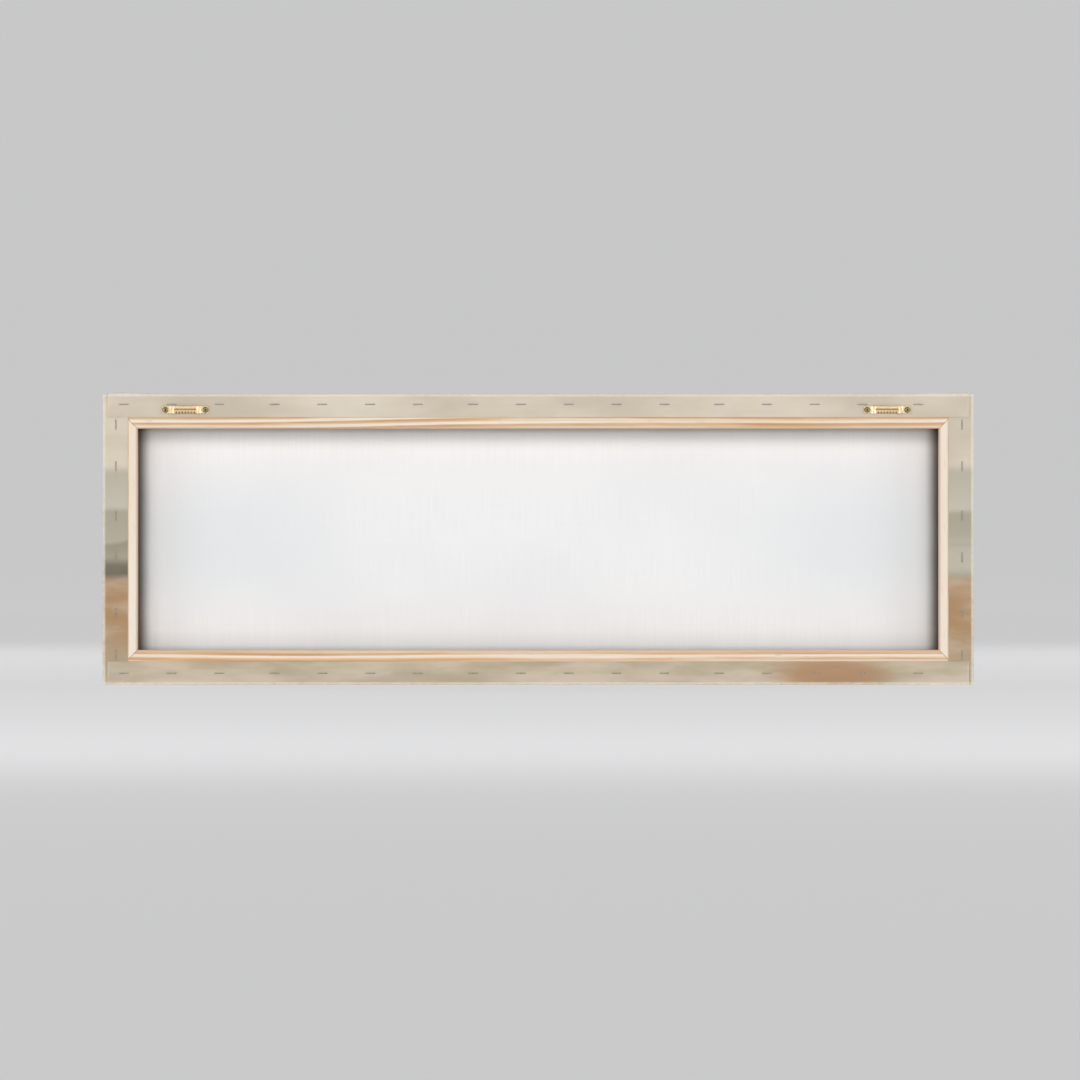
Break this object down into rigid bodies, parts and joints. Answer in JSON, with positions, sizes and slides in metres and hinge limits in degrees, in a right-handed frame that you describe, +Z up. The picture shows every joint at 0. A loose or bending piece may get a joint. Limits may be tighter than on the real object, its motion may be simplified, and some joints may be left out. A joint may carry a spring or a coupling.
{
  "type": "stretched canvas",
  "caption": "Wide gallery-wrapped canvas: printed cloth stretched over a mitred pine stretcher frame, stapled to its back, with sawtooth hangers on the top bar.",
  "frame": {"origin": "middle of the bottom edge, on the outside of the cloth and halfway through its depth", "axes": "+Z up as the canvas hangs, +X along its length, the picture faces -Y and the back, with the hangers, faces +Y towards the wall"},
  "size_m": [0.9154, 0.0418, 0.3057],
  "materials": {
    "printed_canvas": "matte",
    "pine": "matte",
    "staple_steel": "satin",
    "nail_steel": "satin",
    "hanger_brass": "satin",
    "screw_brass": "satin"
  },
  "bodies": {
    "root": {"canvas": "printed_canvas", "stretcher_bar_top": "pine", "stretcher_bar_bottom": "pine", "stretcher_bar_left": "pine", "stretcher_bar_right": "pine", "staples_top": "staple_steel", "staples_bottom": "staple_steel", "staples_left": "staple_steel", "staples_right": "staple_steel", "v_nails_top_left": "nail_steel", "v_nails_top_right": "nail_steel", "v_nails_bottom_left": "nail_steel", "v_nails_bottom_right": "nail_steel", "sawtooth_hanger_left": "hanger_brass", "sawtooth_hanger_right": "hanger_brass", "hanger_screw_left_outer": "screw_brass", "hanger_screw_left_inner": "screw_brass", "hanger_screw_right_outer": "screw_brass", "hanger_screw_right_inner": "screw_brass"}
  },
  "joints": []
}
